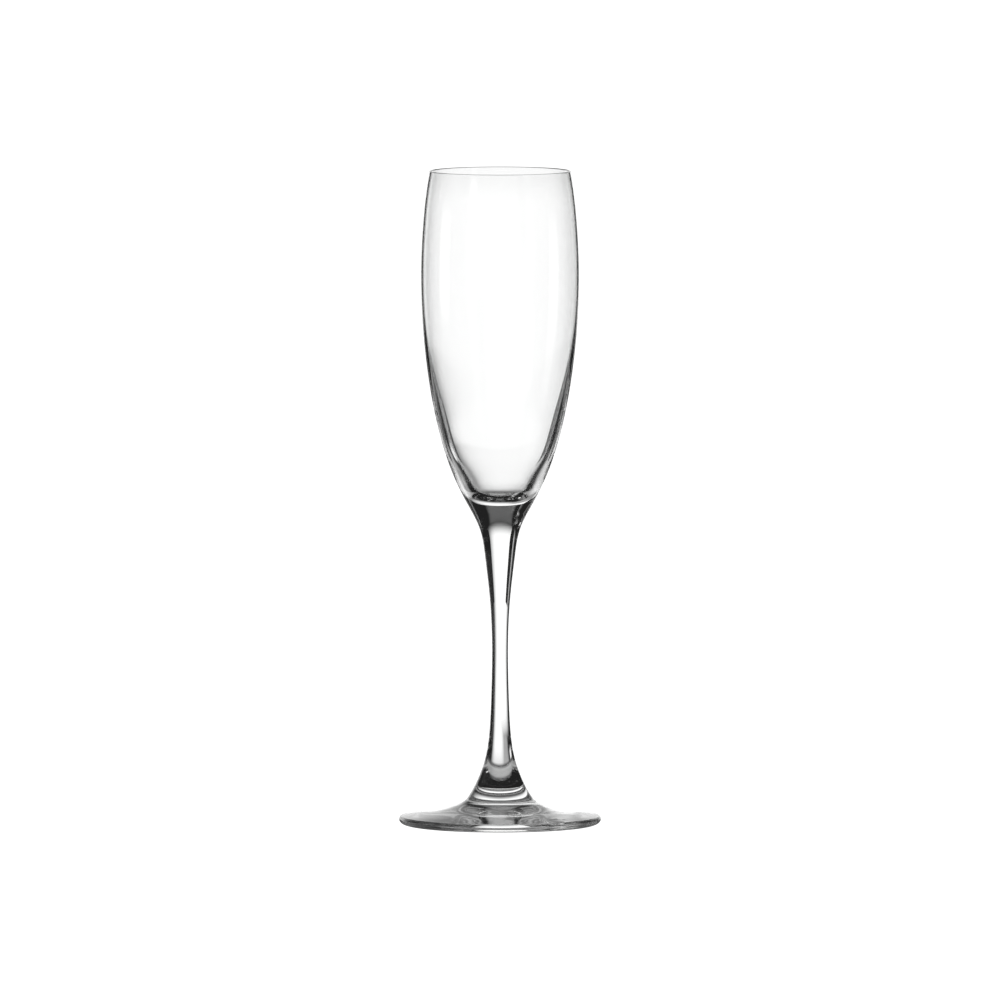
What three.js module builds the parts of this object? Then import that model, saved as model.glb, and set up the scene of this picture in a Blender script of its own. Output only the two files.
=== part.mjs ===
// A champagne flute of clear crystal: a blown bowl, a solid stem and a pressed foot, fused to
// each other at two flat faces.
//
// Millimetres, +Z up. The origin is the centre of the circle that the foot stands on. Every
// piece is a body of revolution about Z, so it is drawn as half a section, in points of
// [radius, height above the table].

import * as THREE from "three";
import { NURBSCurve } from "three/addons/curves/NURBSCurve.js";

// --- Driving dimensions -------------------------------------------------------------------

const HEIGHT = 230;
const RIM_RADIUS = 24.9;
const RIM_WALL = 0.8; // thickness of the fire-polished lip
const FOOT_RADIUS = 35.5;
const FOOT_EDGE_HEIGHT = 3.05; // where the foot's upper side turns over into its edge
const FOOT_DOME = 2.2; // how high the hollow underneath rises in the middle
const DOME_FULLNESS = 1.2; // above 1, the hollow stays high further out before it falls
const STANDING_RADIUS = 33; // outer radius of the flat ring that touches the table
const STANDING_WIDTH = 2.7; // width of that ring
const CAVITY_FLOOR = 114.8; // lowest point of the bowl's inside
const STEM_TOP = 107; // height of the face where bowl and stem are fused
const STEM_BASE = 13.5; // height of the face where stem and foot are fused

const LIP = HEIGHT - RIM_WALL / 2; // above this height the rim is rounded over
const EDGE_RADIUS = FOOT_RADIUS - 1; // outside this radius the foot's edge is rounded over
const AXIS = 0;

const SEGMENTS = 48; // facets round the axis: a multiple of 4, so that the box is centred
const WALL_STEPS = 32;
const CAVITY_STEPS = 32;
const STEM_STEPS = 24;
const SWEEP_STEPS = 14;
const HOLLOW_STEPS = 14;
const EDGE_STEPS = 5;
const LIP_STEPS = 6;

// --- Section ------------------------------------------------------------------------------

/** A cubic spline that starts at its first control point, ends at its last, and is drawn
 *  towards the ones between without touching them, so it never ripples. */
function faired(controls) {
  const degree = 3;
  const spans = controls.length - degree;
  const inner = Array.from({ length: spans - 1 }, (_, i) => i + 1);
  const knots = [0, 0, 0, 0, ...inner, spans, spans, spans, spans];
  const points = controls.map(([radius, height]) => new THREE.Vector4(radius, height, 0, 1));
  return new NURBSCurve(degree, knots, points);
}

// The outside, from the lip down to the foot's edge. It is one curve, because the pieces are
// fused while they are soft and run smoothly into each other. The bowl is widest where it is
// drawn towards 28.2, and the stem is thinnest where it is drawn towards 2.65.
const OUTSIDE = faired([
  [RIM_RADIUS, LIP],
  [26.25, 222.5],
  [27.55, 209],
  [28.2, 191],
  [27.1, 172],
  [24.95, 154],
  [21.6, 138],
  [17.35, 124],
  [11.7, 113],
  [6.3, 104],
  [5.25, 93.5],
  [3.3, 79],
  [2.65, 62],
  [3.05, 46],
  [3.5, 34],
  [4.55, 25],
  [6.6, 18.5],
  [8.8, 13.5],
  [11, 9.8],
  [12.7, 7.6],
  [17.5, 6.2],
  [23.5, 4.9],
  [29.5, 4],
  [EDGE_RADIUS, FOOT_EDGE_HEIGHT],
]);

// The bowl's inside, from the lip down to the middle of its floor. The wall is thin down to
// the belly and gathers steadily below it, as blown glass does.
const INSIDE = faired([
  [RIM_RADIUS - RIM_WALL, LIP],
  [25.55, 222.5],
  [26.8, 209],
  [27.45, 191],
  [26.3, 172],
  [23.1, 154],
  [19.4, 140],
  [16.2, 129],
  [10.9, 120.4],
  [7.4, CAVITY_FLOOR],
  [AXIS, CAVITY_FLOOR],
]);

/** Where a curve that falls all the way passes a height, as its parameter from 0 to 1. */
function parameterAt(curve, height) {
  let above = 0;
  let below = 1;
  while (below - above > 1e-9) {
    const middle = (above + below) / 2;
    if (curve.getPoint(middle).y > height) {
      above = middle;
    } else {
      below = middle;
    }
  }
  return below;
}

/** Points along a falling curve from one height down to another, both ends exact. */
function stretch(curve, top, bottom, steps) {
  const from = parameterAt(curve, top);
  const to = parameterAt(curve, bottom);
  const points = [];
  for (let i = 0; i <= steps; i++) {
    const { x, y } = curve.getPoint(THREE.MathUtils.lerp(from, to, i / steps));
    points.push(new THREE.Vector2(x, y));
  }
  points[0].y = top;
  points[steps].y = bottom;
  return points;
}

/** Points round an ellipse about a centre, between two angles in degrees, anticlockwise. */
function round([radius, height], [across, up], from, to, steps) {
  const start = THREE.MathUtils.degToRad(from);
  const end = THREE.MathUtils.degToRad(to);
  return new THREE.EllipseCurve(radius, height, across, up, start, end).getPoints(steps);
}

// --- Pieces -------------------------------------------------------------------------------

/** A named body of revolution about Z. Its section starts and ends on the axis and runs
 *  anticlockwise round the solid. */
function turnedPiece(name, section, color) {
  const geometry = new THREE.LatheGeometry(section, SEGMENTS);
  geometry.rotateX(Math.PI / 2);
  const crystal = new THREE.MeshStandardMaterial({
    color,
    roughness: 0.02,
    metalness: 0,
    transparent: true,
    opacity: 0.35,
  });
  const mesh = new THREE.Mesh(geometry, crystal);
  mesh.name = name;
  return mesh;
}

/** The blown bowl: a thin wall with a rounded lip and a thick bottom. Its underside is the
 *  upper fused face. */
function bowl() {
  const wall = stretch(OUTSIDE, LIP, STEM_TOP, WALL_STEPS).reverse();
  const lipCentre = [RIM_RADIUS - RIM_WALL / 2, LIP];
  const lip = round(lipCentre, [RIM_WALL / 2, RIM_WALL / 2], 0, 180, LIP_STEPS);
  const cavity = stretch(INSIDE, LIP, CAVITY_FLOOR, CAVITY_STEPS);
  cavity[CAVITY_STEPS].x = AXIS;
  const section = [new THREE.Vector2(AXIS, STEM_TOP), ...wall, ...lip.slice(1, -1), ...cavity];
  return turnedPiece("bowl", section, 0xf4f8f7);
}

/** The solid stem, thinnest a little below its middle and flared at both fused faces. */
function stem() {
  const side = stretch(OUTSIDE, STEM_TOP, STEM_BASE, STEM_STEPS).reverse();
  const section = [
    new THREE.Vector2(AXIS, STEM_BASE),
    ...side,
    new THREE.Vector2(AXIS, STEM_TOP),
  ];
  return turnedPiece("stem", section, 0xf6f9f8);
}

/** The hollow under the foot, from its middle out to the ring: level at both, so that it runs
 *  into the ring without a corner. */
function hollowUnderneath() {
  const ringInside = STANDING_RADIUS - STANDING_WIDTH;
  const points = [];
  for (let i = 0; i <= HOLLOW_STEPS; i++) {
    const share = i / HOLLOW_STEPS;
    const fall = (1 + Math.cos(Math.PI * share ** DOME_FULLNESS)) / 2;
    points.push(new THREE.Vector2(ringInside * share, FOOT_DOME * fall));
  }
  points[0].x = AXIS;
  points[HOLLOW_STEPS].y = 0;
  return points;
}

/** The pressed foot: a boss that sweeps out into a thin disc with a rounded edge. It stands
 *  on a flat ring, and is slightly hollow inside that. */
function foot() {
  const widest = FOOT_EDGE_HEIGHT * 0.64;
  const lowerEdge = round(
    [STANDING_RADIUS, widest],
    [FOOT_RADIUS - STANDING_RADIUS, widest],
    -90,
    0,
    EDGE_STEPS,
  );
  const upperEdge = round(
    [EDGE_RADIUS, widest],
    [FOOT_RADIUS - EDGE_RADIUS, FOOT_EDGE_HEIGHT - widest],
    0,
    90,
    EDGE_STEPS,
  );
  const sweep = stretch(OUTSIDE, STEM_BASE, FOOT_EDGE_HEIGHT, SWEEP_STEPS).reverse();
  const section = [
    ...hollowUnderneath(),
    ...lowerEdge,
    ...upperEdge.slice(1),
    ...sweep.slice(1),
    new THREE.Vector2(AXIS, STEM_BASE),
  ];
  return turnedPiece("foot", section, 0xf3f7f6);
}

const flute = new THREE.Group();
flute.add(bowl(), stem(), foot());

export default flute;
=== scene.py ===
"""A champagne flute of clear crystal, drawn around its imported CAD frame.

The three pieces are turned finely from the sections of the CAD solids: a blown bowl, a solid
stem and a pressed foot. Where two of them are fused, the glass runs on without a surface.
To the camera the floor and the studio are plain white. The glass itself is lit from behind,
and the room beside that light is dark, which is what draws the dark edges of clear glass.
Metres, +Z up. The camera looks along +Y.
"""
import math

import bmesh
import bpy
import numpy as np
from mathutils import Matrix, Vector


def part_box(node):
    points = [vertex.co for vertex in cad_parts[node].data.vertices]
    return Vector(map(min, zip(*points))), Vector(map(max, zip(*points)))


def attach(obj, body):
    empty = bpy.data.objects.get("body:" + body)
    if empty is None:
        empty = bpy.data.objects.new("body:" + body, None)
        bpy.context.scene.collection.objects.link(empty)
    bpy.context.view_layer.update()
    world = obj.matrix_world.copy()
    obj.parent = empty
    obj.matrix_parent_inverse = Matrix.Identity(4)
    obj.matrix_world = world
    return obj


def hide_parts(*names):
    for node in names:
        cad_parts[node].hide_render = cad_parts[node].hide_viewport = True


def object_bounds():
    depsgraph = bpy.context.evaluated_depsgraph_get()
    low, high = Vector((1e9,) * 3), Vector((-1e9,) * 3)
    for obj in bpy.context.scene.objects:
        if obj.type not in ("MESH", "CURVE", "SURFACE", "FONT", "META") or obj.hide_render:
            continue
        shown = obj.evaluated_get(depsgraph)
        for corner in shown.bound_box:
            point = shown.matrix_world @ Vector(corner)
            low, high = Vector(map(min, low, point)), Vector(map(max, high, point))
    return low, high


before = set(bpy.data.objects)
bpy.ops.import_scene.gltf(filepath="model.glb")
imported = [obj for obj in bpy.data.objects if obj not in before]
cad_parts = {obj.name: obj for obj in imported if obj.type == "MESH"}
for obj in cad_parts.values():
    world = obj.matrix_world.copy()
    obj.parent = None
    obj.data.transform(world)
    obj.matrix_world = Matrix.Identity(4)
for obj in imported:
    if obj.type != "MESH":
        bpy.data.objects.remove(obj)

MM = 0.001
CAD_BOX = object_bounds()

# --- Camera -------------------------------------------------------------------------------
CAMERA_ELEVATION = math.radians(4.37)
CAMERA_DISTANCE = 7.0
FRAME_WIDTH = 0.3511  # what the picture takes in at the flute
TARGET_HEIGHT = 0.1142
SENSOR = 36.0  # mm
BOUNCES = 48

# --- Pieces -------------------------------------------------------------------------------
SEGMENTS = 192  # round the axis
STEP = 0.7 * MM  # along the section
TURN = math.radians(4)  # most that the section turns between two of its points
CORNER = math.radians(33)  # a section that turns by more than this keeps its corner
TINY = 1e-6  # how closely points have to agree to be the same
JOINT_REACH = 0.01 * MM  # how close to a fused joint a face has to lie to belong to it

# --- Crystal ------------------------------------------------------------------------------
CRYSTAL_IOR = 1.52
WAVE_DETAIL = 2.0
WAVE_ROUGHNESS = 0.45
HAZE_SCALE = 60.0  # per metre
HAZE_DETAIL = 3.0
HAZE_RANGE = (0.35, 0.75)
GLOSS_LOSS = 0.02  # roughness where the haze is strongest

# --- Studio -------------------------------------------------------------------------------
PAPER_WHITE = 1.15  # floor and backdrop, a little overexposed
ROOM_DARK = 0.015
FLOOR_SIZE = 24.0

# Lights of the studio. Each is an azimuth, a half width and its softness, then a lower edge and
# its softness and an upper edge and its softness, in degrees, and last a radiance.
LIGHTS = [
    (99, 29, 13, -11, 4, 23, 13, 1.18),  # the backdrop that the camera looks towards
    (84, 15, 11, -37, 25, -3, 4, 1.14),  # the table in front of it
    (93, 26, 6, -34, 6, -3, 4, 0.42),  # the table on either side of that
    (93, 24, 6, 30, 8, 62, 8, 0.14),  # what it lights of the ceiling
    (270, 50, 15, -5, 6, 25, 10, 0.28),  # the wall behind the camera
    (235, 75, 20, 12, 5, 28, 8, 0.3),  # what lights the walls higher up
    (180, 8, 4, -9, 4, 4, 4, 1.15),  # smaller lights, where the side views look
    (135, 6, 3, -30, 3, -20, 3, 1.15),
    (315, 6, 3, -21, 3, -10, 3, 1.15),
]

# Black flags just out of the picture, either side of the bowl. Seen from above each runs
# diagonally away from the axis, from a start this far along one axis and across it.
FLAG_BACK = 120 * MM
FLAG_SPREAD = 60 * MM
FLAG_LENGTH = 240 * MM
FLAG_HEIGHTS = (80 * MM, 125 * MM, 165 * MM, 400 * MM)
FLAG_REACH = 20 * MM  # how much nearer the flags come beside the narrow end of the bowl

# Thin gauze that shades the mouth of the bowl from behind.
GAUZE_BACK = 60 * MM
GAUZE_WIDTH = 180 * MM
GAUZE_HEIGHTS = (205 * MM, 300 * MM)
GAUZE_EDGE = (213 * MM, 236 * MM)
GAUZE_COVER = 0.16

# A table card under the foot with painted shade for the foot's shadow: it glows dim under the
# foot, dark round its edge, and is clear again further out.
SHADE_DIM = (18 * MM, 22 * MM)
SHADE_DARK = (32 * MM, 34 * MM)
SHADE_CLEAR = (40 * MM, 48 * MM)
DIM_GLOW = 0.42
DARK_GLOW = 0.08


# --- Sections -----------------------------------------------------------------------------
def section_of(node):
    """A CAD node's half section as [radius, height] rows, anticlockwise from axis to axis."""
    mesh = bmesh.new()
    mesh.from_mesh(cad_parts[node].data)
    bmesh.ops.remove_doubles(mesh, verts=mesh.verts, dist=TINY)
    on_plane = {v for v in mesh.verts if abs(v.co.y) < TINY and v.co.x > -TINY}
    here = min((v for v in on_plane if v.co.x < TINY), key=lambda v: v.co.z)
    walked = [here]
    while len(walked) < 2 or here.co.x > TINY:
        for edge in here.link_edges:
            other = edge.other_vert(here)
            if other in on_plane and other not in walked[-2:]:
                break
        here = other
        walked.append(here)
    points = np.array([(v.co.x, v.co.z) for v in walked])
    mesh.free()
    points[[0, -1], 0] = 0
    return points


def unit(vectors):
    return vectors / np.linalg.norm(vectors, axis=-1, keepdims=True)


def mirrored(tangent, chord):
    """The tangent at the far end of an arc with that chord."""
    return 2 * np.dot(tangent, chord) * chord - tangent


def finer(points):
    """The same section with more points, on smooth curves between its corners."""
    chords = points[1:] - points[:-1]
    lengths = np.linalg.norm(chords, axis=1)
    chords = chords / lengths[:, None]
    middle = unit(points[2:] - points[:-2])
    turns = np.arccos(np.clip((chords[1:] * chords[:-1]).sum(1), -1, 1))
    last = len(points) - 1
    smooth = [False, *(turns < CORNER), False]
    result = [points[0]]
    for i, (chord, length) in enumerate(zip(chords, lengths)):
        leaving = middle[i - 1] if smooth[i] else None
        arriving = middle[i] if smooth[i + 1] else None
        if leaving is None and arriving is None:
            leaving = arriving = chord
        elif leaving is None:
            level = np.array([1.0, 0.0])
            leaving = level if i == 0 else mirrored(arriving, chord)
        elif arriving is None:
            level = np.array([-1.0, 0.0])
            arriving = level if i + 1 == last else mirrored(leaving, chord)
        bend = math.acos(min(1, np.dot(leaving, arriving)))
        steps = math.ceil(max(length / STEP, bend / TURN, 1))
        for k in range(1, steps + 1):
            t = k / steps
            result.append(
                (2 * t**3 - 3 * t**2 + 1) * points[i]
                + (t**3 - 2 * t**2 + t) * length * leaving
                + (3 * t**2 - 2 * t**3) * points[i + 1]
                + (t**3 - t**2) * length * arriving
            )
    return np.array(result)


def turned(name, section):
    """A closed body of revolution about Z from a section that starts and ends on the axis."""
    rings = section[1:-1]
    angles = np.linspace(0, 2 * math.pi, SEGMENTS, endpoint=False)
    around = np.stack([np.cos(angles), np.sin(angles)], axis=1)
    vertices = [(0, 0, section[0][1])]
    for radius, height in rings:
        vertices += [(radius * c, radius * s, height) for c, s in around]
    vertices.append((0, 0, section[-1][1]))
    top = len(vertices) - 1
    faces = []
    for i in range(SEGMENTS):
        j = (i + 1) % SEGMENTS
        faces.append((0, 1 + j, 1 + i))
        for ring in range(len(rings) - 1):
            low = 1 + ring * SEGMENTS
            high = low + SEGMENTS
            faces.append((low + i, low + j, high + j, high + i))
        low = 1 + (len(rings) - 1) * SEGMENTS
        faces.append((low + i, low + j, top))
    mesh = bpy.data.meshes.new(name)
    mesh.from_pydata(vertices, [], faces)
    mesh.shade_smooth()
    mesh.set_sharp_from_angle(angle=CORNER)
    mesh.update()
    piece = bpy.data.objects.new(name, mesh)
    bpy.context.scene.collection.objects.link(piece)
    return piece


# --- Materials ----------------------------------------------------------------------------
def new_tree(name):
    material = bpy.data.materials.new(name)
    material.use_nodes = True
    material.node_tree.nodes.clear()
    return material, material.node_tree


def add(tree, kind, **values):
    """A node with its properties and unlinked inputs set by name."""
    node = tree.nodes.new(kind)
    for name, value in values.items():
        if hasattr(node, name):
            setattr(node, name, value)
        else:
            node.inputs[name].default_value = value
    return node


def crystal(name, tint, wave, stretch, depth):
    """Clear crystal with a fire-polished skin. The skin waves gently at the scale wave, drawn
    out by stretch along the axis, to the given depth; its gloss varies a very little."""
    material, tree = new_tree(name)
    place = add(tree, "ShaderNodeTexCoord")
    squeeze = add(tree, "ShaderNodeMapping")
    squeeze.inputs["Scale"].default_value = (1 / wave, 1 / wave, 1 / (wave * stretch))
    swell = add(tree, "ShaderNodeTexNoise", Detail=WAVE_DETAIL, Roughness=WAVE_ROUGHNESS)
    swell.inputs["Scale"].default_value = 1.0
    bump = add(tree, "ShaderNodeBump", Strength=1.0, Distance=depth)
    haze = add(tree, "ShaderNodeTexNoise", Detail=HAZE_DETAIL)
    haze.inputs["Scale"].default_value = HAZE_SCALE
    gloss = add(tree, "ShaderNodeMapRange")
    gloss.inputs["From Min"].default_value = HAZE_RANGE[0]
    gloss.inputs["From Max"].default_value = HAZE_RANGE[1]
    gloss.inputs["To Min"].default_value = 0.0
    gloss.inputs["To Max"].default_value = GLOSS_LOSS
    glass = add(tree, "ShaderNodeBsdfPrincipled")
    glass.inputs["Base Color"].default_value = (*tint, 1)
    glass.inputs["IOR"].default_value = CRYSTAL_IOR
    glass.inputs["Transmission Weight"].default_value = 1.0
    output = add(tree, "ShaderNodeOutputMaterial")
    link = tree.links.new
    link(place.outputs["Object"], squeeze.inputs["Vector"])
    link(squeeze.outputs["Vector"], swell.inputs["Vector"])
    link(swell.outputs["Fac"], bump.inputs["Height"])
    link(place.outputs["Object"], haze.inputs["Vector"])
    link(haze.outputs["Fac"], gloss.inputs["Value"])
    link(gloss.outputs["Result"], glass.inputs["Roughness"])
    link(bump.outputs["Normal"], glass.inputs["Normal"])
    link(glass.outputs["BSDF"], output.inputs["Surface"])
    return material


def fused_joint():
    """The flat faces where two pieces were fused: glass on both sides, so nothing shows."""
    material, tree = new_tree("fused_joint")
    clear = add(tree, "ShaderNodeBsdfTransparent")
    output = add(tree, "ShaderNodeOutputMaterial")
    tree.links.new(clear.outputs["BSDF"], output.inputs["Surface"])
    return material


JOINT = fused_joint()


def build_piece(node, material, joints):
    """The fine version of a CAD node, with its faces at the joints' heights made seamless."""
    low, high = CAD_BOX
    section = np.clip(finer(section_of(node)), (0, low[2]), (high[0], high[2]))
    piece = turned("crystal_" + node, section)
    piece.data.materials.append(material)
    piece.data.materials.append(JOINT)
    for face in piece.data.polygons:
        heights = [piece.data.vertices[v].co.z for v in face.vertices]
        if any(max(abs(h - joint) for h in heights) < JOINT_REACH for joint in joints):
            face.material_index = 1
    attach(piece, "root")
    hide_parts(node)
    return piece


def build_flute():
    upper_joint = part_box("stem")[1].z
    lower_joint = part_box("stem")[0].z
    bowl = crystal("bowl_crystal", (0.998, 1.0, 0.999), 14 * MM, 3.0, 0.002 * MM)
    stem = crystal("stem_crystal", (0.997, 1.0, 0.998), 3 * MM, 12.0, 0.001 * MM)
    foot = crystal("foot_crystal", (0.996, 1.0, 0.998), 9 * MM, 1.0, 0.002 * MM)
    build_piece("bowl", bowl, [upper_joint])
    build_piece("stem", stem, [upper_joint, lower_joint])
    build_piece("foot", foot, [lower_joint])


# --- Studio -------------------------------------------------------------------------------
def window(tree, direction, towards, half, soft):
    """1 within half degrees of an azimuth, fading to 0 over soft degrees either side of the
    edge. direction is a level unit vector."""
    aim = math.radians(towards)
    facing = add(tree, "ShaderNodeVectorMath", operation="DOT_PRODUCT")
    facing.inputs[1].default_value = (math.cos(aim), math.sin(aim), 0)
    tree.links.new(direction, facing.inputs[0])
    edge = add(tree, "ShaderNodeMapRange", interpolation_type="SMOOTHSTEP")
    edge.inputs["From Min"].default_value = math.cos(math.radians(half + soft))
    edge.inputs["From Max"].default_value = math.cos(math.radians(half - soft))
    tree.links.new(facing.outputs["Value"], edge.inputs["Value"])
    return edge.outputs["Result"]


def ramp(tree, value, low, high):
    """0 below low, 1 above high (or the other way round), smooth between."""
    edge = add(tree, "ShaderNodeMapRange", interpolation_type="SMOOTHSTEP")
    edge.inputs["From Min"].default_value = min(low, high)
    edge.inputs["From Max"].default_value = max(low, high)
    edge.inputs["To Min"].default_value = 0.0 if low < high else 1.0
    edge.inputs["To Max"].default_value = 1.0 if low < high else 0.0
    tree.links.new(value, edge.inputs["Value"])
    return edge.outputs["Result"]


def combined(tree, operation, *values):
    """The product, sum or maximum of several values."""
    total = values[0]
    for value in values[1:]:
        node = add(tree, "ShaderNodeMath", operation=operation)
        for socket, item in zip(node.inputs, (total, value)):
            if isinstance(item, (int, float)):
                socket.default_value = item
            else:
                tree.links.new(item, socket)
        total = node.outputs["Value"]
    return total


def level_direction(tree, vector):
    """A vector's level part, at unit length, and its height."""
    flat = add(tree, "ShaderNodeVectorMath", operation="MULTIPLY")
    flat.inputs[1].default_value = (1, 1, 0)
    tree.links.new(vector, flat.inputs[0])
    one = add(tree, "ShaderNodeVectorMath", operation="NORMALIZE")
    tree.links.new(flat.outputs["Vector"], one.inputs[0])
    parts = add(tree, "ShaderNodeSeparateXYZ")
    tree.links.new(vector, parts.inputs["Vector"])
    return one.outputs["Vector"], parts.outputs["Z"]


def elevation(degrees):
    return math.sin(math.radians(degrees))


def studio_world():
    """White to the camera. To the glass it is a dark room with soft lights in it."""
    world = bpy.data.worlds.new("studio")
    world.use_nodes = True
    tree = world.node_tree
    tree.nodes.clear()
    place = add(tree, "ShaderNodeTexCoord")
    direction, height = level_direction(tree, place.outputs["Generated"])
    lights = []
    for towards, half, soft, bottom, fade_in, top, fade_out, radiance in LIGHTS:
        wide = window(tree, direction, towards, half, soft)
        above = ramp(tree, height, elevation(bottom - fade_in), elevation(bottom + fade_in))
        below = ramp(tree, height, elevation(top + fade_out), elevation(top - fade_out))
        lights.append(combined(tree, "MULTIPLY", wide, above, below, radiance))
    light = combined(tree, "MAXIMUM", *lights, ROOM_DARK)
    room = add(tree, "ShaderNodeBackground")
    tree.links.new(light, room.inputs["Strength"])
    paper = add(tree, "ShaderNodeBackground")
    paper.inputs["Strength"].default_value = PAPER_WHITE
    for background in (room, paper):
        background.inputs["Color"].default_value = (1, 1, 1, 1)
    path = add(tree, "ShaderNodeLightPath")
    seen = add(tree, "ShaderNodeMixShader")
    output = add(tree, "ShaderNodeOutputWorld")
    tree.links.new(path.outputs["Is Camera Ray"], seen.inputs["Fac"])
    tree.links.new(room.outputs["Background"], seen.inputs[1])
    tree.links.new(paper.outputs["Background"], seen.inputs[2])
    tree.links.new(seen.outputs["Shader"], output.inputs["Surface"])
    bpy.context.scene.world = world


def glowing(name, strength_of):
    """A material that only glows, with its strength from strength_of(tree)."""
    material, tree = new_tree(name)
    glow = add(tree, "ShaderNodeEmission")
    strength = strength_of(tree)
    if isinstance(strength, (int, float)):
        glow.inputs["Strength"].default_value = strength
    else:
        tree.links.new(strength, glow.inputs["Strength"])
    output = add(tree, "ShaderNodeOutputMaterial")
    tree.links.new(glow.outputs["Emission"], output.inputs["Surface"])
    return material


def card(name, corners, material):
    """A flat card from its corners, in its own frame. It is kept from the camera, but light
    that crosses the glass still meets it."""
    mesh = bpy.data.meshes.new(name)
    mesh.from_pydata(corners, [], [tuple(range(len(corners)))])
    mesh.materials.append(material)
    result = bpy.data.objects.new(name, mesh)
    bpy.context.scene.collection.objects.link(result)
    result.visible_camera = False
    return result


def flag(name, start, azimuth, material):
    """An upright black flag from a start point, running out along an azimuth in degrees."""
    bottom, narrow, wide, top = FLAG_HEIGHTS
    corners = [
        (-FLAG_REACH, 0, bottom),
        (FLAG_LENGTH, 0, bottom),
        (FLAG_LENGTH, 0, top),
        (0, 0, top),
        (0, 0, wide),
        (-FLAG_REACH, 0, narrow),
    ]
    result = card(name, corners, material)
    result.location = (*start, 0)
    result.rotation_euler.z = math.radians(azimuth)


def see_through(name, cover_and_glow_of):
    """A material that glows where it covers and is clear where it doesn't, with its cover and
    its strength from cover_and_glow_of(tree)."""
    material, tree = new_tree(name)
    clear = add(tree, "ShaderNodeBsdfTransparent")
    glow = add(tree, "ShaderNodeEmission")
    mixed = add(tree, "ShaderNodeMixShader")
    output = add(tree, "ShaderNodeOutputMaterial")
    cover, strength = cover_and_glow_of(tree)
    if isinstance(strength, (int, float)):
        glow.inputs["Strength"].default_value = strength
    else:
        tree.links.new(strength, glow.inputs["Strength"])
    tree.links.new(cover, mixed.inputs["Fac"])
    tree.links.new(clear.outputs["BSDF"], mixed.inputs[1])
    tree.links.new(glow.outputs["Emission"], mixed.inputs[2])
    tree.links.new(mixed.outputs["Shader"], output.inputs["Surface"])
    return material


def gauze_look(tree):
    """Thin dark gauze that thickens upwards."""
    place = add(tree, "ShaderNodeTexCoord")
    parts = add(tree, "ShaderNodeSeparateXYZ")
    tree.links.new(place.outputs["Object"], parts.inputs["Vector"])
    cover = combined(tree, "MULTIPLY", ramp(tree, parts.outputs["Z"], *GAUZE_EDGE), GAUZE_COVER)
    return cover, ROOM_DARK


def shade_look(tree):
    """Painted shade for the foot's shadow: a soft-edged ring round the axis, dim inside and
    dark outside.
    """
    place = add(tree, "ShaderNodeTexCoord")
    length = add(tree, "ShaderNodeVectorMath", operation="LENGTH")
    tree.links.new(place.outputs["Object"], length.inputs[0])
    radius = length.outputs["Value"]
    dim = ramp(tree, radius, *SHADE_DIM)
    clear = ramp(tree, radius, *reversed(SHADE_CLEAR))
    light = ramp(tree, radius, *reversed(SHADE_DARK))
    glow = combined(tree, "MULTIPLY", light, DIM_GLOW - DARK_GLOW)
    return combined(tree, "MULTIPLY", dim, clear), combined(tree, "ADD", glow, DARK_GLOW)


def white_floor():
    bpy.ops.mesh.primitive_plane_add(size=FLOOR_SIZE)
    floor = bpy.context.object
    floor.name = "white_floor"
    floor.data.materials.append(glowing("white_paper", lambda tree: PAPER_WHITE))
    floor.visible_glossy = False
    floor.visible_transmission = False
    floor.visible_diffuse = False


def studio_stage():
    white_floor()
    black = glowing("black_flag", lambda tree: ROOM_DARK)
    near, far = FLAG_SPREAD, FLAG_BACK
    flag("flag_behind_left", (-near, far), 135, black)
    flag("flag_behind_right", (near, far), 45, black)
    flag("flag_left_behind", (-far, near), 135, black)
    flag("flag_left_before", (-far, -near), 225, black)
    flag("flag_before_right", (near, -far), 315, black)
    flag("flag_right_before", (far, -near), 315, black)
    gauze = see_through("thin_gauze", gauze_look)
    low, high = GAUZE_HEIGHTS
    half = GAUZE_WIDTH / 2
    corners = [(-half, 0, low), (half, 0, low), (half, 0, high), (-half, 0, high)]
    card("gauze", corners, gauze).location.y = GAUZE_BACK
    # the table under the foot, a glowing card with painted shade standing for the foot's shadow
    shade = see_through("table_painted_shade", shade_look)
    edge = SHADE_CLEAR[1]
    corners = [(-edge, -edge, 0), (edge, -edge, 0), (edge, edge, 0), (-edge, edge, 0)]
    card("table_painted_shade", corners, shade).location.z = -0.05 * MM


def add_camera():
    camera = bpy.data.objects.new("camera", bpy.data.cameras.new("camera"))
    bpy.context.scene.collection.objects.link(camera)
    target = Vector((0, 0, TARGET_HEIGHT))
    back = Vector((0, -math.cos(CAMERA_ELEVATION), math.sin(CAMERA_ELEVATION)))
    camera.location = target + CAMERA_DISTANCE * back
    camera.rotation_euler = back.to_track_quat("Z", "Y").to_euler()
    camera.data.sensor_width = SENSOR
    camera.data.lens = SENSOR * CAMERA_DISTANCE / FRAME_WIDTH
    camera.data.clip_start = 0.1
    camera.data.clip_end = 50
    bpy.context.scene.camera = camera


def render_settings():
    """Exposure without a film curve, and enough bounces for light to cross the glass."""
    scene = bpy.context.scene
    scene.view_settings.view_transform = "Standard"
    scene.cycles.max_bounces = BOUNCES
    scene.cycles.transmission_bounces = BOUNCES
    scene.cycles.glossy_bounces = BOUNCES
    scene.cycles.transparent_max_bounces = BOUNCES


build_flute()
studio_world()
studio_stage()
add_camera()
render_settings()
